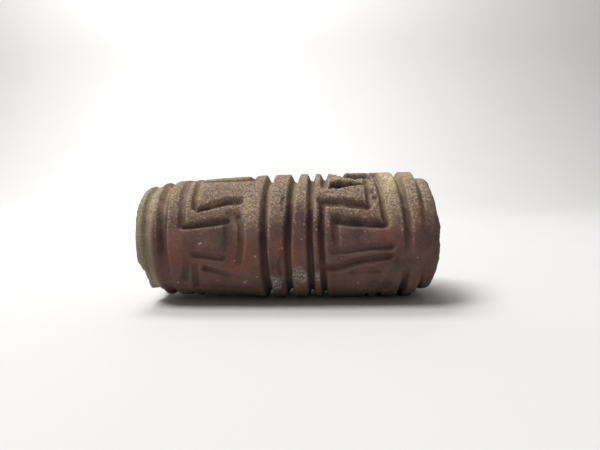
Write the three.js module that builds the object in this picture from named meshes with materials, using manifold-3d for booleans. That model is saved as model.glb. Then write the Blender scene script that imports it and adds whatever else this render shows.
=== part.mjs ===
// Cylinder seal: a roller stamp of fired clay, lying on its side.
// Millimetres, +Z up. X runs along the roller, -Y is the front, and Z = 0 is the surface it lies on.

import * as THREE from 'three';
import { mergeVertices } from 'three/addons/utils/BufferGeometryUtils.js';
import Module from 'manifold-3d';

const wasm = await Module();
wasm.setup();

// Driving dimensions.

const length = 83;
const radius = 18;              // over the middle rings and the right half
const boreRadius = 4.5;         // the hole for a stick, along the axis
const restWidth = 5.6;          // the worn flat along the underside
const ringSegments = 60;
const boreSegments = 24;

const taperStart = -4.2;        // left of this the roller slims down
const taper = 0.042;            // loss of radius per millimetre of length

// The two end bands: radius, where the step to the body starts and stops, and the rounded rim.
const endBands = {
  left: { radius: 15.35, stepFrom: -36.4, stepTo: -34.8, face: 11.6, rim: 2.8 },
  right: { radius: 16.0, stepFrom: 35.2, stepTo: 36.8, face: 10.4, rim: 3.3 },
};
const rimSteps = 3;

const turns = 3;                // the fret repeats this often around the roller
const clearance = 2;            // how far a cutter stands out of the surface
const weldDistance = 1e-4;      // corners closer than this are one corner
const grooveFloor = 0.2;        // half the floor of a ring groove, as a share of its width
const strokeFloor = 0.55;       // the floor of a stroke, as a share of its width
const strokeFlare = 0.35;       // how fast its sides lean outwards
const strokeOverrun = 0.6;      // extra length of a run so that runs join, as a share of its width
const degreesPerStep = 8;       // a run that turns further than this is bent in steps

const halfLength = length / 2;
const restDrop = radius - Math.sqrt(radius ** 2 - (restWidth / 2) ** 2);
const axisHeight = radius - restDrop;

// Grooves that run right round: place along X, width at the surface, depth.
const ringGrooves = [
  { x: -37.6, width: 2.0, depth: 0.8 },
  { x: -32.5, width: 2.8, depth: 1.6 },
  { x: -5.0, width: 2.6, depth: 2.1 },
  { x: 1.4, width: 2.5, depth: 2.2 },
  { x: 6.9, width: 2.3, depth: 2.0 },
  { x: 31.4, width: 2.3, depth: 1.7 },
];

// Strokes of the stepped fret. Each runs through [X, degrees up from the front].
const fretStrokes = [
  // left panel: two nested hooks with their upright legs, and the steps below
  { path: [[-28.0, 82], [-27.0, 16]], width: 1.7, depth: 1.3 },
  { path: [[-24.8, 71], [-24.1, 34]], width: 1.6, depth: 1.3 },
  { path: [[-23.2, 72], [-9.6, 69.5]], width: 2.2, depth: 1.4 },
  { path: [[-23.0, 31.5], [-15.5, 38], [-12.4, 38]], width: 2.2, depth: 1.5 },
  { path: [[-26.6, 14.6], [-15.2, 19.6]], width: 2.2, depth: 1.4 },
  { path: [[-14.8, 18], [-14.8, -8]], width: 1.8, depth: 0.6 },
  { path: [[-13.2, 25.5], [-11.4, 14], [-11.9, -15]], width: 2.0, depth: 1.2 },
  { path: [[-23.8, -11], [-16.9, -13.4]], width: 1.9, depth: 1.0 },
  { path: [[-21.2, -24.5], [-15.5, -29.8], [-11.5, -31.5]], width: 1.8, depth: 0.8 },
  { path: [[-26.3, -21], [-27.5, -35]], width: 1.6, depth: 0.6 },
  { path: [[-24.0, -23], [-24.8, -46]], width: 1.6, depth: 0.7 },
  // right panel: the same hooks, turned the other way, with waving strokes below
  { path: [[9.9, 34], [9.9, -62]], width: 1.9, depth: 1.8 },
  { path: [[10.4, 34.4], [21.6, 30.2]], width: 2.7, depth: 1.8 },
  { path: [[22.1, 31], [21.9, 58]], width: 1.4, depth: 1.1 },
  { path: [[13.5, 17.2], [25.5, 13.6]], width: 2.6, depth: 1.8 },
  { path: [[13.4, 17.5], [13.6, -3]], width: 1.9, depth: 1.1 },
  { path: [[24.7, 78], [26.2, 14]], width: 1.7, depth: 1.5 },
  { path: [[13.2, -8.8], [19.0, -6.2], [27.0, -5.4]], width: 2.0, depth: 0.9 },
  { path: [[10.2, -24.6], [14.6, -22.8], [19.4, -16.4], [26.6, -13.4]], width: 2.2, depth: 1.2 },
  { path: [[18.0, -26.8], [24.0, -26.4]], width: 2.6, depth: 0.7 },
];

// Breaks in the surface: centre along X, degrees up from the front, half sizes along and across, depth.
const chips = [
  { x: 16.4, angle: 58, along: 4.0, across: 2.5, into: 2.0 },
  { x: 19.6, angle: 73, along: 3.6, across: 2.8, into: 1.6 },
  { x: 14.9, angle: 90, along: 2.0, across: 2.6, into: 1.1 },
];
const chipLift = 0.6;           // how far a chip's centre stands out of the surface, as a share of its depth
const chipDetail = 1;           // how often the faces of a chip's lump are divided
const brokenCorner = { x: -43.4, angle: -74, size: 5.2, lift: 1.8 };

function toSolid(geometry) {
  const bare = geometry.index ? geometry.clone() : geometry;
  bare.deleteAttribute('normal');
  bare.deleteAttribute('uv');
  const merged = mergeVertices(bare, weldDistance);
  return new wasm.Manifold(new wasm.Mesh({
    numProp: 3,
    vertProperties: merged.attributes.position.array,
    triVerts: new Uint32Array(merged.index.array),
  }));
}

function toGeometry(solid) {
  const mesh = solid.getMesh();
  const geometry = new THREE.BufferGeometry();
  geometry.setAttribute('position', new THREE.BufferAttribute(new Float32Array(mesh.vertProperties), 3));
  geometry.setIndex(new THREE.BufferAttribute(new Uint32Array(mesh.triVerts), 1));
  geometry.computeVertexNormals();
  return geometry;
}

// A point on the roller: X along it, degrees up from the front, distance from the axis.
function onRoller(x, degrees, distance) {
  const angle = THREE.MathUtils.degToRad(degrees);
  return new THREE.Vector3(x, -distance * Math.cos(angle), distance * Math.sin(angle));
}

// Radius of the uncarved roller.
function bodyRadius(x) {
  return radius - taper * Math.max(0, taperStart - x);
}

// A rim rounded by a quarter ellipse, from the end face out to the end band.
function rimPoints(side, { radius: bandRadius, face, rim }) {
  const points = [];
  for (let i = 0; i <= rimSteps; i += 1) {
    const turn = (i / rimSteps) * Math.PI / 2;
    const back = rim * (1 - Math.cos(turn));
    const out = (bandRadius - face) * Math.sin(turn);
    points.push(new THREE.Vector2(face + out, side * (halfLength - back)));
  }
  return points;
}

// The outline from the left end of the axis to its right end, as (radius, X).
function bodyProfile() {
  const { left, right } = endBands;
  const points = [new THREE.Vector2(0, -halfLength), ...rimPoints(-1, left)];
  const add = (x, r) => points.push(new THREE.Vector2(r, x));

  for (const { x, width, depth } of ringGrooves) {
    const onBand = x < left.stepFrom;
    const shoulder = onBand ? left.radius : bodyRadius(x);
    add(x - width / 2, shoulder);
    add(x - width * grooveFloor, shoulder - depth);
    add(x + width * grooveFloor, shoulder - depth);
    if (onBand) {
      add(left.stepFrom, left.radius);
      add(left.stepTo, bodyRadius(left.stepTo));
    } else {
      add(x + width / 2, shoulder);
    }
  }

  add(right.stepFrom, radius);
  add(right.stepTo, right.radius);
  points.push(...rimPoints(1, right).reverse(), new THREE.Vector2(0, halfLength));
  return points;
}

function turnedBody() {
  const lathe = new THREE.LatheGeometry(bodyProfile(), ringSegments);
  lathe.rotateZ(-Math.PI / 2);
  return toSolid(lathe);
}

// One straight run of a stroke: a tapering bar wrapped onto the roller.
function strokeBar([startX, startAngle], [endX, endAngle], width, depth) {
  const surface = bodyRadius((startX + endX) / 2);
  const perDegree = THREE.MathUtils.degToRad(surface);
  const run = new THREE.Vector2(endX - startX, (endAngle - startAngle) * perDegree);
  const side = new THREE.Vector2(-run.y, run.x).normalize();
  const steps = Math.max(1, Math.round(Math.abs(endAngle - startAngle) / degreesPerStep));
  const barLength = run.length() + width * strokeOverrun;
  const bar = new THREE.BoxGeometry(barLength, width, depth + clearance, steps, 1, 1);
  const places = bar.attributes.position;
  for (let i = 0; i < places.count; i += 1) {
    const floor = places.getZ(i) < 0;
    const along = places.getX(i) / run.length() + 0.5;
    const across = places.getY(i) * (floor ? strokeFloor : 1 + clearance * strokeFlare);
    const flat = run.clone().multiplyScalar(along).addScaledVector(side, across);
    const distance = surface + (floor ? -depth : clearance);
    const place = onRoller(startX + flat.x, startAngle + flat.y / perDegree, distance);
    places.setXYZ(i, place.x, place.y, place.z);
  }
  return toSolid(bar);
}

function fretCutters() {
  const bars = [];
  for (let turn = 0; turn < turns; turn += 1) {
    const shift = (360 / turns) * turn;
    for (const { path, width, depth } of fretStrokes) {
      for (let i = 1; i < path.length; i += 1) {
        const from = [path[i - 1][0], path[i - 1][1] + shift];
        const to = [path[i][0], path[i][1] + shift];
        bars.push(strokeBar(from, to, width, depth));
      }
    }
  }
  return bars;
}

function chipCutters() {
  return chips.map(({ x, angle, along, across, into }) => {
    const pit = new THREE.IcosahedronGeometry(1, chipDetail);
    pit.scale(along, into * (1 + chipLift), across);
    pit.rotateX(THREE.MathUtils.degToRad(-angle));
    const centre = onRoller(x, angle, bodyRadius(x) + into * chipLift);
    pit.translate(centre.x, centre.y, centre.z);
    return toSolid(pit);
  });
}

function cornerCutter() {
  const { x, angle, size, lift } = brokenCorner;
  const lump = new THREE.IcosahedronGeometry(size, chipDetail);
  const centre = onRoller(x, angle, bodyRadius(x) + lift);
  lump.translate(centre.x, centre.y, centre.z);
  return toSolid(lump);
}

function boreCutter() {
  const bore = new THREE.CylinderGeometry(boreRadius, boreRadius, length + 2 * clearance, boreSegments);
  bore.rotateZ(Math.PI / 2);
  return toSolid(bore);
}

function restCutter() {
  const slab = new THREE.BoxGeometry(length + 2 * clearance, 2 * (radius + clearance), radius);
  slab.translate(0, 0, -axisHeight - radius / 2);
  return toSolid(slab);
}

let clay = turnedBody();
for (const cutter of [...fretCutters(), ...chipCutters(), cornerCutter(), boreCutter(), restCutter()]) {
  clay = clay.subtract(cutter);
}

const firedClay = new THREE.MeshStandardMaterial({ color: 0x6f5a4c, roughness: 0.95, metalness: 0 });
const seal = new THREE.Mesh(toGeometry(clay), firedClay);
seal.name = 'seal_body';
seal.position.set(0, 0, axisHeight);

const group = new THREE.Group();
group.add(seal);

export default group;
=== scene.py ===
import math

import bmesh
import bpy
import numpy as np
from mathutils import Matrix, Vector, noise


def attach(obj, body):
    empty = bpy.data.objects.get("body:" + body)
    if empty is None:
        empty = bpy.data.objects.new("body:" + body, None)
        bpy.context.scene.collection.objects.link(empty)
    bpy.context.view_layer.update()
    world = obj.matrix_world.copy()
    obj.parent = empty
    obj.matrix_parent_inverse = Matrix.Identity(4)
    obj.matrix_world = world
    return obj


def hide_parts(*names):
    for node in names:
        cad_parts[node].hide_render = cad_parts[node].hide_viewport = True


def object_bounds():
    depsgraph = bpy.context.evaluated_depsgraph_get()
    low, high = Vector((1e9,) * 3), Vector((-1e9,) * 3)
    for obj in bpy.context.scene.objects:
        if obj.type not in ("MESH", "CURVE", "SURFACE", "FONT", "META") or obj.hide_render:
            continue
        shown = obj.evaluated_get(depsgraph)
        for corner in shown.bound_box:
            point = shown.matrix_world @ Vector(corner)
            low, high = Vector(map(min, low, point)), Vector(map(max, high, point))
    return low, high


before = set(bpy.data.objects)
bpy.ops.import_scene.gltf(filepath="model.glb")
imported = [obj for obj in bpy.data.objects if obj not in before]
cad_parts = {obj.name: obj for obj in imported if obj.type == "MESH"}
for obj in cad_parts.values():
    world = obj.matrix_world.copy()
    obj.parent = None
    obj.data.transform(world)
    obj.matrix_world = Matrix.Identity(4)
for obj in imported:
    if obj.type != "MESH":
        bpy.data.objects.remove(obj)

cadLow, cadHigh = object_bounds()

mm = 0.001
halfLength = (cadHigh.x - cadLow.x) / 2 / mm
fullRadius = (cadHigh.y - cadLow.y) / 2 / mm
axisHeight = cadHigh.z / mm - fullRadius
print("frame loaded: roller", round(2 * halfLength, 1), "mm long,", round(2 * fullRadius, 1), "mm across")


studio = {
    "lens": 26.7,                           # millimetres, on a sensor of this width
    "sensorWidth": 36,
    "nearClip": 0.005,                      # metres
    "cameraPlace": (9.34, -131.33, 31.23),  # millimetres
    "cameraTurn": (85.5, 1.23, 2.52),       # degrees about X, Y, Z
    "keyTowards": (-0.41, -0.15, 0.9),      # from the seal, then how many metres away
    "keyDistance": 0.9,
    "keySize": 0.4,
    "keyPower": 7.6,
    "keyHue": (1.0, 0.985, 0.96),
    "wallPlace": (-0.2, 0.3, 0.85),         # this one lights the paper behind
    "wallTowards": (-0.12, 0.72, 0.3),
    "wallSize": 0.5,
    "wallPower": 8.2,
    "wallHue": (1, 1, 1),
    "worldGlow": 0.28,
    "worldHue": (1.0, 0.965, 0.93, 1),
}


def makeCamera():
    data = bpy.data.cameras.new("camera")
    data.lens = studio["lens"]
    data.sensor_width = studio["sensorWidth"]
    data.clip_start = studio["nearClip"]
    camera = bpy.data.objects.new("camera", data)
    camera.location = [value * mm for value in studio["cameraPlace"]]
    camera.rotation_euler = [math.radians(value) for value in studio["cameraTurn"]]
    bpy.context.scene.collection.objects.link(camera)
    bpy.context.scene.camera = camera


def areaLight(name, place, target, size, power, hue):
    data = bpy.data.lights.new(name, "AREA")
    data.shape = "DISK"
    data.size = size
    data.energy = power
    data.color = hue
    light = bpy.data.objects.new(name, data)
    light.location = place
    light.rotation_euler = (Vector(target) - Vector(place)).to_track_quat("-Z", "Y").to_euler()
    bpy.context.scene.collection.objects.link(light)


def makeLights():
    centre = Vector((0, 0, axisHeight * mm))
    key = centre + Vector(studio["keyTowards"]) * studio["keyDistance"]
    areaLight("key_light", key, centre, studio["keySize"], studio["keyPower"], studio["keyHue"])
    areaLight("wall_light", studio["wallPlace"], studio["wallTowards"], studio["wallSize"],
              studio["wallPower"], studio["wallHue"])

    world = bpy.data.worlds.new("world")
    world.use_nodes = True
    background = world.node_tree.nodes["Background"]
    background.inputs["Color"].default_value = studio["worldHue"]
    background.inputs["Strength"].default_value = studio["worldGlow"]
    bpy.context.scene.world = world
    bpy.context.scene.view_settings.view_transform = "Standard"
    bpy.context.scene.view_settings.look = "None"


class Signal:
    # one output socket; arithmetic on it adds Math nodes
    def __init__(self, shader, socket):
        self.shader = shader
        self.socket = socket

    def math(self, operation, *values, clamp=False):
        settings = {"operation": operation, "use_clamp": clamp}
        return self.shader.node("ShaderNodeMath", settings, dict(enumerate(values)))

    def __add__(self, other):
        return self.math("ADD", self, other)

    def __radd__(self, other):
        return self.math("ADD", other, self)

    def __sub__(self, other):
        return self.math("SUBTRACT", self, other)

    def __rsub__(self, other):
        return self.math("SUBTRACT", other, self)

    def __mul__(self, other):
        return self.math("MULTIPLY", self, other)

    def __rmul__(self, other):
        return self.math("MULTIPLY", other, self)

    def __truediv__(self, other):
        return self.math("DIVIDE", self, other)

    def __rtruediv__(self, other):
        return self.math("DIVIDE", other, self)

    def clamped(self):
        return self.math("ADD", self, 0.0, clamp=True)

    def above(self, low, high):
        settings = {"interpolation_type": "SMOOTHSTEP"}
        inputs = {"Value": self, "From Min": low, "From Max": high}
        return self.shader.node("ShaderNodeMapRange", settings, inputs)


class Shader:
    def __init__(self, name):
        self.material = bpy.data.materials.new(name)
        self.material.use_nodes = True
        self.tree = self.material.node_tree
        self.tree.nodes.clear()

    def node(self, kind, settings=None, inputs=None, output=0):
        # settings go first, because they decide which sockets there are
        made = self.tree.nodes.new(kind)
        for key, value in (settings or {}).items():
            setattr(made, key, value)
        for key, value in (inputs or {}).items():
            socket = made.inputs[key]
            if isinstance(value, Signal):
                self.tree.links.new(value.socket, socket)
            else:
                socket.default_value = value
        return Signal(self, made.outputs[output]) if made.outputs else None

    def place(self):
        return self.node("ShaderNodeTexCoord", output="Object")

    def painted(self, name):
        return self.node("ShaderNodeAttribute", {"attribute_name": name}, output="Fac")

    def noise(self, vector, size, detail, roughness=0.5, warp=0.0):
        # size is the width of one blotch in millimetres
        inputs = {"Vector": vector, "Scale": 1 / (size * mm), "Detail": detail,
                  "Roughness": roughness, "Distortion": warp}
        return self.node("ShaderNodeTexNoise", {}, inputs)

    def cells(self, vector, size):
        # a random grey for each cell, one cell to a sand grain of this size in millimetres
        inputs = {"Vector": vector, "Scale": 1 / (size * mm)}
        hue = self.node("ShaderNodeTexVoronoi", {}, inputs, "Color")
        return self.node("ShaderNodeSeparateColor", {}, {"Color": hue}, "Red")

    def blend(self, factor, first, second, mode="MIX"):
        settings = {"data_type": "RGBA", "blend_type": mode, "clamp_factor": True}
        inputs = {0: factor, 6: first, 7: second}
        return self.node("ShaderNodeMix", settings, inputs, 2)

    def finish(self, colour, roughness, height, depth, specular):
        # depth is the height of the bump in millimetres
        inputs = {"Height": height, "Distance": depth * mm, "Strength": 1.0}
        bump = self.node("ShaderNodeBump", {}, inputs)
        inputs = {"Base Color": colour, "Roughness": roughness, "Normal": bump,
                  "Specular IOR Level": specular}
        surface = self.node("ShaderNodeBsdfPrincipled", {}, inputs)
        self.node("ShaderNodeOutputMaterial", {}, {"Surface": surface})
        return self.material


def tint(red, green, blue):
    # a colour from 0 to 255 values, by the standard curve for screens
    def linear(value):
        value = value / 255
        return value / 12.92 if value <= 0.04045 else ((value + 0.055) / 1.055) ** 2.4
    return (linear(red), linear(green), linear(blue), 1.0)


seal = {
    "boreRadius": 4.5,          # lengths in millimetres
    "mouthRound": 0.7,
    "columns": 300,             # mesh faces round the roller
    "bodyStep": 0.3,            # mesh spacing along it
    "frontCrowd": 0.26,         # how much closer the columns stand at the front
    "frontAngle": 18,           # the middle of that front, in degrees up
    "holeCuts": 14, "faceCutsLeft": 12, "faceCutsRight": 8,
    "rimSteps": 15, "mouthSteps": 3,
    "bandLeft": 15.35, "faceLeft": 12.6, "roundLeft": 2.3,      # radii, and depth of the rounding
    "bandRight": 16.0, "faceRight": 10.4, "roundRight": 3.3,
    "taperStart": -4.2, "taper": 0.042,     # left of this it slims, by this much a millimetre
    "leftStep": -35.6, "leftSoft": 0.9,     # where the end bands step down, and how softly
    "rightStep": 36.0, "rightSoft": 0.9, "rightWorn": 1.5,      # worn softer at the front
    "wornReach": 34,            # and this many degrees to each side of it
    "repeats": 3,
    "backDepth": 0.9,           # depth of the repeats against the front
    "rubbed": (-54, 17, 0.85),   # the repeats are rubbed out here: angle, spread, share lost
    "skew": 0.28,               # how much gentler the upper and left sides of a stroke are
    "arcSkew": 0.6,             # share of that in a stroke round the roller
    "ringSkew": 0.22,
    "grooveFloor": 0.3,         # where a groove's floor ends and its shoulder ends, in half widths
    "grooveShoulder": 1.22,
    "strokeSink": 0.4,          # strokes are measured this far below the surface
}

# grooves that run right round: x at the front, lean and bow of the ring, width, depth,
# then where they fade (angle, spread, share lost)
ringGrooves = [
    {"x": -37.1, "lean": -0.2, "bow": -1.1, "width": 2.2, "depth": 1.35, "fades": [(-40, 60, 0.6)]},
    {"x": -32.1, "lean": -0.2, "bow": -0.8, "width": 2.9, "depth": 1.6, "fades": [(-40, 28, 0.7)]},
    {"x": -5.35, "lean": 0.25, "bow": 0.85, "width": 2.4, "depth": 2.2, "fades": []},
    {"x": 0.9, "lean": 0.9, "bow": 0.95, "width": 2.3, "depth": 2.4, "fades": []},
    {"x": 6.75, "lean": 0.2, "bow": 0.4, "width": 2.0, "depth": 2.1, "fades": []},
    {"x": 9.75, "lean": 0.1, "bow": 1.1, "width": 2.0, "depth": 1.9,
     "fades": [(46, 9, 1.0), (166, 9, 1.0)]},
    {"x": 31.9, "lean": -0.1, "bow": -0.9, "width": 2.1, "depth": 1.8, "fades": [(-16, 20, 0.95)]},
    {"x": 36.0, "lean": 0.0, "bow": 0.1, "width": 2.0, "depth": 1.0, "fades": [(-5, 28, 1.0)]},
]

# strokes of the fret through (x, degrees up from the front), with widths and depths at the two ends
fretStrokes = [
    # left panel: two nested hooks with their upright legs, and the steps below
    {"path": [(-28.1, 84), (-27.5, 40), (-26.9, 16)], "width": (2.3, 2.3), "depth": (0.9, 1.0)},
    {"path": [(-24.8, 71), (-24.1, 34)], "width": (1.8, 1.8), "depth": (1.2, 1.5)},
    {"path": [(-23.0, 72), (-16.0, 71.5), (-9.6, 69)], "width": (2.0, 3.0), "depth": (1.1, 1.8)},
    {"path": [(-23.2, 31), (-20.0, 33.8), (-15.5, 38), (-12.4, 38)],
     "width": (1.9, 3.0), "depth": (1.4, 1.8)},
    {"path": [(-26.6, 14.6), (-20.0, 17.4), (-15.2, 19.6)], "width": (1.9, 2.8), "depth": (1.4, 1.5)},
    {"path": [(-14.9, 18), (-14.8, -9)], "width": (2.4, 2.0), "depth": (0.8, 0.35)},
    {"path": [(-13.7, 23), (-13.5, -8)], "width": (4.4, 3.8), "depth": (0.85, 0.3)},
    {"path": [(-13.9, 27.4), (-12.3, 23.4)], "width": (1.4, 2.4), "depth": (0.6, 1.3)},
    {"path": [(-12.3, 23.4), (-11.4, 14), (-11.3, 4), (-11.5, -6), (-11.9, -16)],
     "width": (2.4, 2.3), "depth": (1.4, 0.7)},
    {"path": [(-23.9, -10.9), (-20.0, -12.0), (-16.8, -13.4)],
     "width": (2.3, 2.3), "depth": (0.85, 1.05), "skew": 0.5},
    {"path": [(-21.4, -24.3), (-18.5, -26.6), (-15.5, -30), (-11.0, -32)],
     "width": (2.3, 2.0), "depth": (1.15, 0.3), "skew": 0.5},
    {"path": [(-26.2, -18), (-27.6, -38)], "width": (2.0, 2.2), "depth": (0.5, 1.1)},
    {"path": [(-23.9, -20), (-24.9, -49)], "width": (1.9, 2.0), "depth": (0.55, 1.1)},
    # right panel: the same hooks turned the other way, with waving strokes below
    {"path": [(10.0, 34.5), (16.0, 32.6), (21.6, 30)], "width": (3.1, 2.7), "depth": (1.8, 1.8)},
    {"path": [(22.2, 31), (21.9, 60)], "width": (1.6, 1.5), "depth": (1.6, 0.8)},
    {"path": [(13.5, 17.4), (18.5, 15.2), (25.5, 13.6)], "width": (3.0, 2.6), "depth": (1.8, 1.8)},
    {"path": [(13.3, 17.5), (13.4, 6), (13.7, -3)], "width": (2.4, 2.0), "depth": (1.6, 0.5)},
    {"path": [(24.7, 78), (25.4, 50), (26.2, 13.6)], "width": (2.0, 1.9), "depth": (1.4, 1.7)},
    {"path": [(12.8, -9.0), (16.0, -8.0), (19.0, -6.2), (22.5, -4.8), (27.0, -5.6)],
     "width": (2.3, 2.7), "depth": (0.6, 1.15), "skew": 0.55},
    {"path": [(9.8, -25.2), (13.0, -24.2), (15.5, -21.6), (18.0, -18), (21.0, -15.8), (26.6, -13.4)],
     "width": (2.9, 2.6), "depth": (1.35, 1.15), "skew": 0.55},
    {"path": [(17.8, -27.6), (20.5, -25.8), (24.0, -26.4)],
     "width": (3.4, 3.0), "depth": (0.8, 0.9), "skew": 0.4},
]

# strokes that were cut only once
singleStrokes = [
    {"path": [(-9.6, 70), (-9.4, 100)], "width": (2.0, 2.0), "depth": (1.5, 1.3)},
    {"path": [(28.4, -28), (27.2, -38), (26.4, -50)], "width": (2.2, 3.0), "depth": (0.3, 0.9)},
    {"path": [(24.6, -33), (23.0, -46)], "width": (2.2, 3.0), "depth": (0.3, 0.7)},
]

# low ridges of clay pushed up beside the strokes: path, width, height
ridges = [
    {"path": [(14.6, -3.0), (17.5, -1.8), (20.0, -0.2), (23.5, -0.2)], "width": (1.3, 1.2),
     "depth": (0.15, 0.34)},
    {"path": [(10.4, -17.6), (12.0, -19.6), (14.4, -18.8), (15.6, -16), (18.0, -13), (21.0, -11.6),
              (27.4, -9)], "width": (1.5, 1.4), "depth": (0.52, 0.54)},
    {"path": [(11.4, -31), (13.5, -28.6), (15.6, -26.6), (18.0, -23), (20.0, -21), (23.2, -20.8),
              (24.8, -24.6)], "width": (1.6, 1.5), "depth": (0.5, 0.58)},
    {"path": [(-22.4, -22.0), (-20.6, -21.2), (-17.0, -23.4), (-12.0, -26.4)], "width": (1.3, 1.3),
     "depth": (0.2, 0.12)},
    {"path": [(-25.2, -22), (-26.2, -38)], "width": (1.4, 1.4), "depth": (0.3, 0.3)},
    {"path": [(-25.4, -6.4), (-22.0, -6.8), (-17.0, -8.6)], "width": (1.4, 1.3), "depth": (0.2, 0.1)},
]

# broken places: corners (x, angle) of a rough polygon, depth, how far in the slope reaches, and
# how much painted shade darkens it inside
breaks = [
    {"corners": [(11.4, 49.6), (16.0, 51.2), (21.8, 54.8), (21.6, 57.8), (18.2, 60.6), (15.2, 64.2),
                 (12.4, 58.5)],
     "depth": 2.8, "slope": 0.7, "recessTone": 1.0},
    {"corners": [(15.6, 69.0), (19.0, 65.2), (23.4, 62.6), (24.2, 73.0), (22.4, 85.0), (16.0, 87.0),
                 (14.2, 77.0)],
     "depth": 2.1, "slope": 1.0, "recessTone": 0.8},
    {"corners": [(12.5, 78.0), (17.1, 78.0), (17.4, 101.0), (12.3, 99.0)],
     "depth": 2.1, "slope": 0.9, "recessTone": 0.5},
]

# worn ends and edges: x, angle, half sizes along and across, depth
wornRims = [
    {"x": -43.0, "angle": -40, "along": 4.4, "across": 9.0, "depth": 1.6},
    {"x": -42.6, "angle": -84, "along": 4.6, "across": 6.5, "depth": 1.7},
    {"x": -42.5, "angle": 160, "along": 4.0, "across": 6.0, "depth": 1.2},
    {"x": 42.8, "angle": 58, "along": 4.6, "across": 8.0, "depth": 0.55},
    {"x": 42.8, "angle": 38, "along": 4.6, "across": 6.0, "depth": 0.3},
    {"x": -43.2, "angle": -4, "along": 3.4, "across": 8.0, "depth": 0.4},
    {"x": 43.0, "angle": -52, "along": 4.0, "across": 7.0, "depth": 0.3},
    {"x": 42.5, "angle": 205, "along": 4.4, "across": 6.0, "depth": 1.1},
    {"x": -0.4, "angle": -26, "along": 1.9, "across": 9.5, "depth": 1.1},
    {"x": 35.0, "angle": -70, "along": 2.2, "across": 3.4, "depth": 0.8},
    {"x": -0.3, "angle": 36, "along": 0.7, "across": 1.9, "depth": 0.6},
    {"x": -0.2, "angle": 28, "along": 0.6, "across": 1.1, "depth": 0.45},
    {"x": 23.2, "angle": 44, "along": 0.7, "across": 1.0, "depth": 0.7},
    {"x": 23.8, "angle": 38, "along": 0.8, "across": 0.8, "depth": 0.6},
    {"x": 22.9, "angle": 36, "along": 0.5, "across": 0.7, "depth": 0.5},
    {"x": 30.0, "angle": -18, "along": 1.8, "across": 1.6, "depth": 0.25},
]

# low swellings of the hand-rolled body: x, angle, half sizes along and across, height
swells = [
    (-23.0, 86, 4.5, 9.0, 0.35), (-40.6, 72, 1.8, 9.0, 1.3), (34.1, 78, 1.2, 15.0, 0.4),
    (22.0, -30, 5.0, 4.0, 0.2),
    (-20.0, 2, 4.5, 3.5, 0.15), (-8.0, -18, 3.5, 7.0, 0.12), (19.5, 8, 5.0, 2.4, 0.12),
]

# dustier (positive) and smoother (negative) places: x, angle, half sizes along and across, amount
dusting = [
    (26.7, 58, 1.3, 12.0, 0.9), (29.0, 64, 2.2, 7.0, 0.9), (33.6, 72, 3.0, 9.0, 0.3),
    (-9.4, 30, 2.0, 5.0, 0.4), (-37.5, 35, 2.5, 7.0, 0.5), (-33.5, 60, 2.5, 6.0, 0.4),
    (-4.4, 45, 0.7, 12.0, 0.6), (2.3, 40, 0.6, 12.0, 0.4), (3.4, 12, 3.2, 5.4, -1.2),
    (-2.4, 10, 2.0, 3.6, -0.2), (8.4, 12, 1.0, 4.0, -0.4), (-18.0, 52, 6.5, 6.0, -0.55),
    (-29.5, 10, 3.0, 6.0, -0.3), (4.0, 160, 8.0, 9.0, -0.6), (-20.0, 140, 9.0, 7.0, 0.5),
]

# rubbed, whitish places on the high rings: x, angle, half sizes along and across
scuffs = [
    (-2.9, -38.5, 2.0, 3.8), (3.5, -32.5, 2.4, 3.6), (8.8, -32.5, 1.2, 2.8),
]

# single white flecks: x, angle, size
flecks = [
    (-22.3, 0, 0.29), (-21.8, 0.6, 0.27), (-7.7, -11.5, 0.27), (-7.7, -31.5, 0.23), (-11.3, -38.5, 0.27),
    (-10.7, -36.6, 0.19), (-18.7, -37, 0.24), (-29.8, -41, 0.23), (8.3, 10.5, 0.24), (8.1, 14, 0.16),
    (20.7, 8.5, 0.24), (-0.7, -5, 0.19), (4.5, 2.5, 0.18), (19.0, -40, 0.23), (34.0, -14, 0.20),
    (33.6, 20, 0.20), (-17.5, -14.6, 0.16), (18.4, 24.5, 0.20), (30.6, 3, 0.16), (14.6, -13.6, 0.18),
    (-13.2, -15.2, 0.18), (-12.2, -15.6, 0.16), (12.5, 118, 0.27), (-18.0, 175, 0.24), (28.0, 232, 0.27),
]

# pale scratches: ends and width
scratches = [
    {"path": [(-40.4, 9.4), (-36.2, 9.2)], "width": (0.5, 0.4), "depth": (0.9, 0.7)},
    {"path": [(-39.9, 2.4), (-36.6, 6.6)], "width": (0.45, 0.35), "depth": (0.7, 0.8)},
    {"path": [(-35.9, 9.1), (-33.4, 8.9)], "width": (0.35, 0.3), "depth": (0.5, 0.4)},
    {"path": [(-40.6, 20.0), (-38.4, 19.0)], "width": (0.4, 0.3), "depth": (0.4, 0.4)},
    {"path": [(-39.6, -8.0), (-37.2, -12.0)], "width": (0.4, 0.3), "depth": (0.4, 0.4)},
    {"path": [(38.0, 150.0), (33.0, 158.0)], "width": (0.4, 0.3), "depth": (0.6, 0.4)},
]

# places fired redder: x, angle, half sizes along and across
flushes = [
    (-9.5, -12, 3.6, 6.5), (-11.8, -8, 1.8, 4.0), (1.0, -14, 3.0, 4.5), (-1.5, -4, 2.4, 3.0),
    (20.5, -27, 4.0, 2.0), (-24.0, -18, 3.5, 4.0), (-29.0, -8, 2.5, 6.0), (26.5, 6, 3.0, 3.0),
    (34.0, 22, 2.4, 4.0), (-33.0, -26, 3.0, 5.0), (-14.0, -20, 3.0, 3.0), (-12.0, 160, 9.0, 9.0),
    (18.0, 215, 8.0, 8.0),
]


def smoothStep(low, high, value):
    share = np.clip((value - low) / (high - low), 0, 1)
    return share * share * (3 - 2 * share)


def turnGap(angle, other):
    # shortest way round from other to angle, in degrees
    return (angle - other + 180) % 360 - 180


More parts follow.
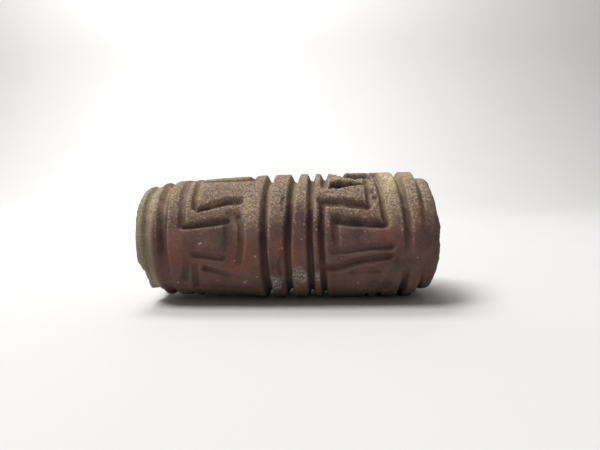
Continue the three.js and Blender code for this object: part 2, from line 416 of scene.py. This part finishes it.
def bodyRadius(x, angle):
    body = fullRadius - seal["taper"] * np.maximum(0, seal["taperStart"] - x)
    frontness = np.exp(-(turnGap(angle, 0) / seal["wornReach"]) ** 2)
    soft = seal["rightSoft"] + seal["rightWorn"] * frontness
    body = body + (seal["bandRight"] - body) * smoothStep(-1, 1, (x - seal["rightStep"]) / soft)
    soft = seal["leftSoft"]
    return body + (seal["bandLeft"] - body) * smoothStep(-soft, soft, seal["leftStep"] - x)


# the carver's hand, which drifts as a few waves round the roller
hand = {
    "waves": 6,
    "lean": 0.16,               # how much a wave may turn along the roller, in radians a millimetre
    "fade": 0.6,                # how fast the shorter waves get weaker
    "along": (3, 0.1),          # seed and reach of the drift along the roller, in millimetres
    "round": (4, 0.5),          # and round it, in degrees
    "width": (20, 0.1),         # first seed and share of the drift in a ring groove's width
}

# unevenness and wear, in millimetres where nothing else is said
wear = {
    "lumpSizes": (6.0, 1.9, 0.8),       # widths of the coarse, medium and fine lumps
    "noiseShift": (17.3, 5.1, 9.7),     # keeps their patterns apart
    # how much of the coarse, medium and fine lumps each of these takes
    "body": (0.14, 0.07, 0),
    "endFaces": (0.34, 0.22, 0.1),
    "hole": (0, 0.1, 0),
    "breakEdge": (0, 0.45, 0.2),
    "breakFloor": (0.8, 0.45, 0),
    "rimEdge": (0.35, 0.2, 0),
    "rimFloor": (0.4, 0, 0),
    "scuffEdge": (0, 0.5, 0),
    "fleckEdge": (0, 0, 0.4),
    # the body's fine lumps, and more of them where it is sandy, between these angles
    "plainFine": 0.025,
    "sandyFine": 0.03,
    "sandyFrom": (-5, 40),
    "sandyTo": (185, 150),
    "endsSunk": 0.32,
    "faceBand": 1.2,            # an end face is this near the end
    "rimBand": 1,               # a rim starts this far outside the left end face
    "mouthShare": 0.6,          # the share of the mouth's rounding that counts as hole
    "carvingEnds": (0.5, 4.0),  # distances from an end where the carving starts and is full
    "patchEdge": (0.6, 1.1),    # a patch fades out between these shares of its size
    "breakLip": -0.25,          # a break starts this far outside its sides, as a share of its slope
    "crestRounds": 9,           # rounds of averaging that tell crests from hollows
    "fullRecess": 1.6,          # carved this deep, a place counts as all groove
    "fullCrest": 0.3,
    "scuffDepth": 0.6,          # scuffs stop where the carving is deeper
    "scratchPaleness": 0.6,
}


def wander(x, angle, seed, reach):
    # slow drift of the carver's hand, the same after a full turn
    picker = np.random.RandomState(seed)
    drift = np.zeros_like(x)
    for wave in range(1, hand["waves"] + 1):
        along = picker.uniform(-hand["lean"], hand["lean"])
        phase = picker.uniform(0, 2 * math.pi)
        drift += np.sin(wave * np.radians(angle) + along * x + phase) / wave ** hand["fade"]
    return drift * reach / 2


def speckle(points, size, seed):
    # one noise value for each point; size is the width of a lump in millimetres
    shift = Vector([seed * part for part in wear["noiseShift"]])
    return np.array([noise.noise(Vector(point) / size + shift) for point in points])


def grooveShape(gap, side, width, skew):
    # 1 along the middle of a groove, rounded over at its worn shoulders; skew widens one side
    half = width / 2
    half = half * (1 + skew * np.clip(side / half, -1, 1))
    return 1 - smoothStep(seal["grooveFloor"], seal["grooveShoulder"], gap / half)


def strokeDepth(x, angle, stroke, shift=0.0):
    # how deep a stroke is at each point; width and depth change evenly from end to end
    path = stroke["path"]
    perDegree = math.radians(fullRadius - seal["strokeSink"])
    lengths = [math.hypot(b[0] - a[0], (b[1] - a[1]) * perDegree) for a, b in zip(path, path[1:])]
    firstWidth, lastWidth = stroke["width"]
    firstDepth, lastDepth = stroke["depth"]
    passed = 0.0
    depth = np.zeros_like(x)
    for (startX, startAngle), (endX, endAngle), size in zip(path, path[1:], lengths):
        alongX = (endX - startX) / size
        alongArc = (endAngle - startAngle) * perDegree / size
        fromX = x - startX
        fromArc = turnGap(angle, startAngle + shift) * perDegree
        travel = np.clip(fromX * alongX + fromArc * alongArc, 0, size)
        gap = np.hypot(fromX - travel * alongX, fromArc - travel * alongArc)
        side = fromArc * alongX - fromX * alongArc
        skew = stroke.get("skew", seal["skew"]) * (alongX + seal["arcSkew"] * alongArc)
        share = (passed + travel) / sum(lengths)
        width = firstWidth + (lastWidth - firstWidth) * share
        deep = firstDepth + (lastDepth - firstDepth) * share
        depth = np.maximum(depth, deep * grooveShape(gap, side, width, skew))
        passed += size
    return depth


def fading(angle, middle, spread, lost):
    # 1 where a groove is whole, less round the middle of a worn place
    return 1 - lost * np.exp(-(turnGap(angle, middle) / spread) ** 2)


def carving(x, angle):
    # how far the carved surface lies below the uncarved roller
    x = x + wander(x, angle, *hand["along"])
    bent = angle + wander(x, angle, *hand["round"])
    up = np.sin(np.radians(angle))
    depth = np.zeros_like(x)

    firstSeed, drift = hand["width"]
    for number, ring in enumerate(ringGrooves):
        deep = np.full_like(x, ring["depth"])
        for fade in ring["fades"]:
            deep *= fading(angle, *fade)
        middle = ring["x"] + ring["lean"] * up + ring["bow"] * up * up
        width = ring["width"] * (1 + drift * wander(x, angle, firstSeed + number, 1.0))
        shape = grooveShape(np.abs(x - middle), middle - x, width, seal["ringSkew"])
        depth = np.maximum(depth, deep * shape)

    backScale = seal["backDepth"] * fading(angle, *seal["rubbed"])
    for turn in range(seal["repeats"]):
        scale = 1.0 if turn == 0 else backScale
        shift = turn * 360 / seal["repeats"]
        for stroke in fretStrokes:
            depth = np.maximum(depth, scale * strokeDepth(x, bent, stroke, shift))
    for stroke in singleStrokes:
        depth = np.maximum(depth, strokeDepth(x, bent, stroke))
    return depth


def patch(x, angle, place, reach, ragged):
    # 1 inside an oval patch, 0 outside, with an uneven edge
    arc = turnGap(angle, place[1]) * math.radians(fullRadius)
    gap = np.hypot((x - place[0]) / reach[0], arc / reach[1]) + ragged
    return 1 - smoothStep(*wear["patchEdge"], gap)


def softSpot(x, angle, middleX, middleAngle, along, across):
    # 1 in the middle of an oval place, fading softly outwards
    arc = turnGap(angle, middleAngle) * math.radians(fullRadius)
    return np.exp(-((x - middleX) / along) ** 2 - (arc / across) ** 2)


def breakShape(x, angle, chip, ragged):
    # a break with straight, ragged sides that slope down to its floor
    corners = chip["corners"]
    perDegree = math.radians(fullRadius)
    inside = np.full_like(x, np.inf)
    for (startX, startAngle), (endX, endAngle) in zip(corners, corners[1:] + corners[:1]):
        sideX = endX - startX
        sideArc = (endAngle - startAngle) * perDegree
        arc = turnGap(angle, startAngle) * perDegree
        distance = (arc * sideX - (x - startX) * sideArc) / math.hypot(sideX, sideArc)
        inside = np.minimum(inside, distance)
    return smoothStep(wear["breakLip"], 1, (inside + ragged) / chip["slope"])


def endArc(side, band, face, size):
    # the rounded rim, from the end face out to the band
    points = []
    for step in range(seal["rimSteps"] + 1):
        turn = math.pi / 2 * step / seal["rimSteps"]
        x = halfLength - size * (1 - math.cos(turn))
        points.append((side * x, face + (band - face) * math.sin(turn)))
    return points


def mouthArc(side):
    # the worn mouth of the hole, from inside it out to the end face
    size = seal["mouthRound"]
    points = []
    for step in range(seal["mouthSteps"] + 1):
        turn = math.pi / 2 * step / seal["mouthSteps"]
        x = halfLength - size * (1 - math.sin(turn))
        points.append((side * x, seal["boreRadius"] + size * (1 - math.cos(turn))))
    return points


def spinRoller():
    # a closed outline of one half of the roller, cut finely and spun round its axis
    bm = bmesh.new()
    left = mouthArc(-1) + endArc(-1, seal["bandLeft"], seal["faceLeft"], seal["roundLeft"])
    right = mouthArc(1) + endArc(1, seal["bandRight"], seal["faceRight"], seal["roundRight"])
    outline = left + right[::-1]
    corners = [bm.verts.new((x, 0, r)) for x, r in outline]
    edges = [bm.edges.new(pair) for pair in zip(corners, corners[1:] + corners[:1])]
    leftFace = seal["mouthSteps"]
    rightFace = len(outline) - leftFace - 2
    body = len(left) - 1
    bodyLength = 2 * halfLength - seal["roundLeft"] - seal["roundRight"]
    cuts = {
        edges[leftFace]: seal["faceCutsLeft"],
        edges[body]: round(bodyLength / seal["bodyStep"]),
        edges[rightFace]: seal["faceCutsRight"],
        edges[-1]: seal["holeCuts"],
    }
    for edge, count in cuts.items():
        bmesh.ops.subdivide_edges(bm, edges=[edge], cuts=count)
    bmesh.ops.spin(bm, geom=bm.verts[:] + bm.edges[:], cent=(0, 0, 0), axis=(1, 0, 0),
                   angle=2 * math.pi, steps=seal["columns"], use_merge=True)
    bmesh.ops.recalc_face_normals(bm, faces=bm.faces)
    return bm


def crowdColumns(blocks, angle):
    # bring the columns closer together at the front, where the carving is sharpest
    turned = -seal["frontCrowd"] * np.sin(angle - math.radians(seal["frontAngle"]))
    cosTurn, sinTurn = np.cos(turned), np.sin(turned)
    for block in blocks:
        y, z = block[:, 1].copy(), block[:, 2].copy()
        block[:, 1] = y * cosTurn + z * sinTurn
        block[:, 2] = z * cosTurn - y * sinTurn
    return np.degrees(angle + turned)


def averaged(values, pairs, rounds):
    # the average of each vertex and its neighbours, over and over
    count = np.bincount(pairs.ravel(), minlength=len(values)) + 1.0
    for turn in range(rounds):
        total = values + np.bincount(pairs[:, 0], values[pairs[:, 1]], len(values))
        total += np.bincount(pairs[:, 1], values[pairs[:, 0]], len(values))
        values = total / count
    return values


def sculptRoller(bm):
    # carve and wear the smooth roller, and return the masks that the material reads
    bm.normal_update()
    points = np.array([vert.co for vert in bm.verts])
    normals = np.array([vert.normal for vert in bm.verts])
    pairs = np.array([[vert.index for vert in edge.verts] for edge in bm.edges])
    x, radius = points[:, 0].copy(), np.hypot(points[:, 1], points[:, 2])
    angle = crowdColumns((points, normals), np.arctan2(points[:, 2], -points[:, 1]))

    # which part of the surface each vertex is on
    inHole = radius < seal["boreRadius"] + seal["mouthRound"] * wear["mouthShare"]
    onBody = (x > -halfLength + seal["roundLeft"]) & (x < halfLength - seal["roundRight"]) & ~inHole
    onEnd = ~onBody & ~inHole
    onFace = onEnd & (np.abs(x) > halfLength - wear["faceBand"])
    onRim = onEnd & (radius > seal["faceLeft"] + wear["rimBand"])

    # the body follows its taper and its two end bands
    target = np.where(onBody, bodyRadius(x, angle), radius)
    points[:, 1:] *= (target / radius)[:, None]

    lumps = [speckle(points, size, seed) for seed, size in enumerate(wear["lumpSizes"], 1)]

    def uneven(name, start=0):
        return sum((share * lump for share, lump in zip(wear[name], lumps)), start)

    carved = np.where(onBody, carving(x, angle), 0.0)
    startIn, fullIn = wear["carvingEnds"]
    carved *= smoothStep(halfLength - startIn, halfLength - fullIn, np.abs(x))
    depth = carved.copy()
    for ridge in ridges:
        depth -= onBody * strokeDepth(x, angle, ridge)
    for *place, height in swells:
        depth -= (onBody | onRim) * height * softSpot(x, angle, *place)

    broken = np.zeros_like(x)
    for chip in breaks:
        inside = onBody * breakShape(x, angle, chip, uneven("breakEdge"))
        depth = np.maximum(depth, inside * chip["depth"] * uneven("breakFloor", 1))
        # the broken mask carries how much painted shade darkens each break
        broken = np.maximum(broken, inside * chip["recessTone"])
    for rim in wornRims:
        place, reach = (rim["x"], rim["angle"]), (rim["along"], rim["across"])
        inside = patch(x, angle, place, reach, uneven("rimEdge")) * ~inHole
        depth = np.maximum(depth, inside * rim["depth"] * uneven("rimFloor", 1))

    # crests are higher than what lies round them, hollows lower
    crest = averaged(depth, pairs, wear["crestRounds"]) - depth

    # wear: uneven all over, finer where it is sandy, the ends lumpy
    sandy = smoothStep(*wear["sandyFrom"], angle) * smoothStep(*wear["sandyTo"], angle)
    depth += uneven("body") + (wear["plainFine"] + wear["sandyFine"] * sandy) * lumps[2]
    depth += np.where(onFace, uneven("endFaces", wear["endsSunk"]), 0.0)
    depth = np.where(inHole, uneven("hole"), depth)
    points -= normals * depth[:, None]

    # lying on its flat
    points[:, 2] = np.maximum(points[:, 2] + axisHeight, 0.0)
    for vert, place in zip(bm.verts, points * mm):
        vert.co = place

    scuffed, flushed, chalky, dusty = (np.zeros_like(x) for mask in range(4))
    for *place, amount in dusting:
        dusty += amount * softSpot(x, angle, *place)
    for middleX, middleAngle, along, across in scuffs:
        inside = patch(x, angle, (middleX, middleAngle), (along, across), uneven("scuffEdge"))
        scuffed = np.maximum(scuffed, inside)
    for place in flushes:
        flushed += softSpot(x, angle, *place)
    for middleX, middleAngle, size in flecks:
        inside = patch(x, angle, (middleX, middleAngle), (size, size), uneven("fleckEdge"))
        chalky = np.maximum(chalky, inside)
    for scratch in scratches:
        chalky = np.maximum(chalky, wear["scratchPaleness"] * strokeDepth(x, angle, scratch))
    return {
        "recess": np.clip(carved / wear["fullRecess"], 0, 1),
        "crest": np.clip(crest / wear["fullCrest"], -1, 1),
        "broken": broken,
        "scuffed": scuffed * (carved < wear["scuffDepth"]),
        "flushed": np.clip(flushed, 0, 1),
        "chalky": chalky,
        "dusty": np.clip(dusty, -1, 1),
    }


def makeSeal():
    bm = spinRoller()
    masks = sculptRoller(bm)
    for face in bm.faces:
        face.smooth = True
    mesh = bpy.data.meshes.new("seal_clay")
    bm.to_mesh(mesh)
    bm.free()
    for name, values in masks.items():
        layer = mesh.attributes.new(name, "FLOAT", "POINT")
        layer.data.foreach_set("value", values.astype(np.float32))
    piece = bpy.data.objects.new("seal_clay", mesh)
    bpy.context.scene.collection.objects.link(piece)
    print("seal carved:", len(mesh.polygons), "faces")
    return piece


clay = {
    # deep: a dark clay tone, also used for the painted shade in grooves and hollows
    "deep": tint(71, 54, 49),
    "body": tint(113, 85, 75),
    # shade: the tone of the painted shade on the lower part
    "shade": tint(86, 69, 69),
    # gap: the painted shade inside breaks
    "gap": tint(56, 41, 42),
    "dust": tint(137, 118, 101),
    # worn: pale tone of rubbed crests, which also carries their painted highlight
    "worn": tint(142, 124, 104),
    "red": tint(126, 78, 66),
    "ochre": tint(186, 168, 134),
    "green": tint(153, 144, 120),
    # sand: pale grain tone used for the painted highlight on the grains
    "sand": tint(178, 160, 134),
    "white": tint(186, 182, 174),
    # patterns: width in millimetres, detail, roughness, and warp if any
    "cloud": (14, 3, 0.55),
    "blotch": (4.5, 4, 0.6, 0.4),
    "grain": (0.52, 3, 0.75),
    "fineGrain": (0.3, 2, 0.6),
    "sandSize": 0.32,
    # heights in millimetres where each starts and is full, or is full and ends
    "dustLine": (19, 29.5),
    "shadeLine": (3, 16),
    "glintLine": (12, 27),
    # how far masks and patterns move those lines, in millimetres
    "dustByMask": 6, "dustByBlotch": 9, "dustByGrain": 6,
    "shadeByCloud": 8,
    "glintByBlotch": 16, "glintByMask": 4,
    # places along the roller, in millimetres, where the green starts and the sandy end faces do
    "greenLine": (-34.5, -37.5), "greenByBlotch": 3,
    "endsLine": (39.5, 41),
    # covers: what always shows, and how much more shows where the pattern is pale
    "redCover": (0.2, 0.5),
    "dustCover": (0.45, 0.7),
    "greenCover": (0.25, 0.7),
    "wornAndLitByDust": (0.18, 0.6), "wornAndLitByGrain": (0.2, 1.1),
    "glintByCrest": (0.14, 0.7),
    # covers that are one share
    "grooveOchre": 0.3, "dustyOchre": 0.75, "grooveShadeCover": 0.3, "hollowShadeCover": 0.4, "smoothDeep": 0.45,
    "breakShadeCover": 0.92, "shadeCover": 0.35, "sandCover": 0.8, "pitCover": 0.35,
    "chalkCover": 0.6, "fleckCover": 0.7,
    # the values of a mask or pattern between which a layer comes in
    "bodyRange": (0.35, 0.85), "ochreRange": (0.46, 0.6), "wornAndLitRange": (0.15, 0.9),
    "hollowRange": (0.2, 1.0), "pitRange": (0.27, 0.38), "glintRange": (0.85, 0.97),
    "glintCrestRange": (0.0, 0.7), "chalkRange": (0.5, 0.64), "fleckRange": (0.15, 0.8),
    # shares in which patterns and masks are added together
    "bodyMix": 0.6, "breakShadeGain": 1.3, "grooveBare": 0.6,
    "sandPlain": 0.16, "sandUpper": 0.84, "sandEnds": 0.35, "sandBroken": 0.8,
    "sandContrast": 0.65, "grainContrast": 0.6,
    "chalkFine": 0.5, "chalkGrain": 0.6,
    # surface
    "roughness": 0.8, "dustRough": 0.12, "grainRough": 0.08,
    "grainRelief": (0.3, 0.6), "brokenSmooth": 0.6, "fineRelief": 0.2, "sandRelief": 0.2,
    "pitRelief": 0.5,
    "bump": 0.2,                # millimetres
    "specular": 0.3,
}


def cover(pattern, amounts):
    least, more = amounts
    return least + pattern * more


def clayMaterial():
    shader = Shader("fired_clay")
    place = shader.place()
    height = shader.node("ShaderNodeSeparateXYZ", {}, {"Vector": place}, "Z") / mm
    along = shader.node("ShaderNodeSeparateXYZ", {}, {"Vector": place}, "X") / mm
    recess, broken, crest = shader.painted("recess"), shader.painted("broken"), shader.painted("crest")
    scuffed, flushed, chalky = shader.painted("scuffed"), shader.painted("flushed"), shader.painted("chalky")
    dusty = shader.painted("dusty")

    cloud = shader.noise(place, *clay["cloud"])
    blotch = shader.noise(place, *clay["blotch"])
    grain = shader.noise(place, *clay["grain"])
    fineGrain = shader.noise(place, *clay["fineGrain"])

    # dust lies on the upper half and thins out downwards
    dustEdge = height + dusty * clay["dustByMask"] + (blotch - 0.5) * clay["dustByBlotch"]
    dustEdge = dustEdge + (grain - 0.5) * clay["dustByGrain"]
    upper = dustEdge.above(*clay["dustLine"])
    # painted shade: the lower part is made darker and cooler
    low = 1 - (height + (cloud - 0.5) * clay["shadeByCloud"]).above(*clay["shadeLine"])
    bare = 1 - recess * clay["grooveBare"]

    mottle = (cloud * clay["bodyMix"] + blotch * clay["bodyMix"]).above(*clay["bodyRange"])
    colour = shader.blend(mottle, clay["deep"], clay["body"])
    colour = shader.blend(flushed * cover(blotch, clay["redCover"]), colour, clay["red"])
    colour = shader.blend(upper * cover(grain, clay["dustCover"]) * bare, colour, clay["dust"])
    recessTone = recess * upper * blotch.above(*clay["ochreRange"]) * clay["grooveOchre"]
    colour = shader.blend(recessTone, colour, clay["ochre"])
    colour = shader.blend((dusty * upper * clay["dustyOchre"]).clamped(), colour, clay["ochre"])
    # paler crests: partly real wear, partly a painted highlight on edges that catch the light, stronger
    # higher up
    rubbed = crest.above(*clay["wornAndLitRange"]) * cover(upper, clay["wornAndLitByDust"])
    colour = shader.blend(rubbed * cover(grain, clay["wornAndLitByGrain"]), colour, clay["worn"])
    # painted shade: hollows, and the grooves on the lower half, darkened towards the deep tone
    hollowShading = (0 - crest).above(*clay["hollowRange"])
    colour = shader.blend(hollowShading * clay["hollowShadeCover"], colour, clay["deep"])
    colour = shader.blend(recess * (1 - upper) * clay["grooveShadeCover"], colour, clay["deep"])
    smoothed = (0 - dusty).above(*clay["hollowRange"])
    colour = shader.blend(smoothed * clay["smoothDeep"], colour, clay["deep"])
    # painted shade: the inside of a break darkened to the gap tone
    breakShade = (broken * clay["breakShadeGain"]).clamped()
    colour = shader.blend(breakShade * clay["breakShadeCover"], colour, clay["gap"])
    # painted shade: darker and cooler towards the bottom
    colour = shader.blend(low * clay["shadeCover"], colour, clay["shade"])

    # the worn left end is greener
    leftEnd = (along + (blotch - 0.5) * clay["greenByBlotch"]).above(*clay["greenLine"])
    colour = shader.blend(leftEnd * cover(blotch, clay["greenCover"]), colour, clay["green"])

    # temper: every sand grain a little paler or darker than the next
    sandTone = shader.cells(place, clay["sandSize"])
    ends = along.math("ABSOLUTE", along).above(*clay["endsLine"])
    shows = (clay["sandPlain"] + upper * clay["sandUpper"] + ends * clay["sandEnds"]).clamped()
    shows = shows * (1 - broken * clay["sandBroken"]) * bare
    tone = 0.5 + (sandTone - 0.5) * clay["sandContrast"] + (grain - 0.5) * clay["grainContrast"]
    colour = shader.blend(shows * clay["sandCover"], colour, tone.clamped(), "OVERLAY")
    pits = (1 - grain.above(*clay["pitRange"])) * shows
    colour = shader.blend(pits * clay["pitCover"], colour, clay["deep"])

    # painted highlight: the palest grains lightened where they would catch the light, most of all on the
    # crests, thinning out downwards
    glintEdge = height + (blotch - 0.5) * clay["glintByBlotch"] + dusty * clay["glintByMask"]
    glints = sandTone.above(*clay["glintRange"]) * glintEdge.above(*clay["glintLine"])
    glints = glints * cover(crest.above(*clay["glintCrestRange"]), clay["glintByCrest"])
    colour = shader.blend(glints * (1 - broken) * bare, colour, clay["sand"])

    # chalky flecks, scratches and rubbed crests
    powder = fineGrain * clay["chalkFine"] + grain * clay["chalkGrain"]
    chalk = scuffed * powder.above(*clay["chalkRange"])
    colour = shader.blend(chalk * clay["chalkCover"], colour, clay["white"])
    flecked = chalky.above(*clay["fleckRange"])
    colour = shader.blend(flecked * clay["fleckCover"], colour, clay["white"])

    roughness = clay["roughness"] + upper * clay["dustRough"] + grain * clay["grainRough"]
    relief = grain * cover(upper, clay["grainRelief"]) * (1 - broken * clay["brokenSmooth"]) * bare
    relief = relief + fineGrain * clay["fineRelief"] + sandTone * shows * clay["sandRelief"]
    relief = relief - pits * clay["pitRelief"]
    return shader.finish(colour, roughness.clamped(), relief, clay["bump"], clay["specular"])


paper = {
    "size": 12.0,               # metres, and the sweep too
    "sweepStart": 0.42,
    "sweepRadius": 0.3,
    "sweepHeight": 1.1,
    "sweepSteps": 16,
    "lift": -0.02,              # millimetres, so that it stays just under the seal
    "darker": (0.56, 0.56, 0.565, 1),
    "paler": (0.58, 0.58, 0.58, 1),
    "blotch": (60, 2),          # width in millimetres, and detail
    "roughness": 0.9,
    "bump": 0.01,
    "specular": 0.2,
}


def makeFloor():
    # a sheet of paper that sweeps up behind
    bm = bmesh.new()
    half = paper["size"] / 2
    lift = paper["lift"] * mm
    start, radius, steps = paper["sweepStart"], paper["sweepRadius"], paper["sweepSteps"]
    corners = [bm.verts.new((-half, -half, lift)), bm.verts.new((half, -half, lift))]
    edge = bm.edges.new(corners)
    path = [(start, 0.0)]
    for step in range(1, steps + 1):
        turn = math.pi / 2 * step / steps
        path.append((start + radius * math.sin(turn), radius * (1 - math.cos(turn))))
    path.append((start + radius, paper["sweepHeight"]))
    for y, z in path:
        grown = bmesh.ops.extrude_edge_only(bm, edges=[edge])["geom"]
        edge = next(item for item in grown if isinstance(item, bmesh.types.BMEdge))
        for vert in edge.verts:
            vert.co.y, vert.co.z = y, z + lift
    bmesh.ops.recalc_face_normals(bm, faces=bm.faces)
    for face in bm.faces:
        face.smooth = True
    mesh = bpy.data.meshes.new("floor")
    bm.to_mesh(mesh)
    bm.free()
    floor = bpy.data.objects.new("floor", mesh)
    bpy.context.scene.collection.objects.link(floor)
    shader = Shader("paper")
    tone = shader.noise(shader.place(), *paper["blotch"])
    colour = shader.blend(tone, paper["darker"], paper["paler"])
    material = shader.finish(colour, paper["roughness"], tone, paper["bump"], paper["specular"])
    mesh.materials.append(material)
    return floor


makeCamera()
makeLights()
makeFloor()
print("studio ready")

sealPiece = makeSeal()
sealPiece.data.materials.append(clayMaterial())
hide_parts("seal_body")
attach(sealPiece, "root")
print("clay fired")
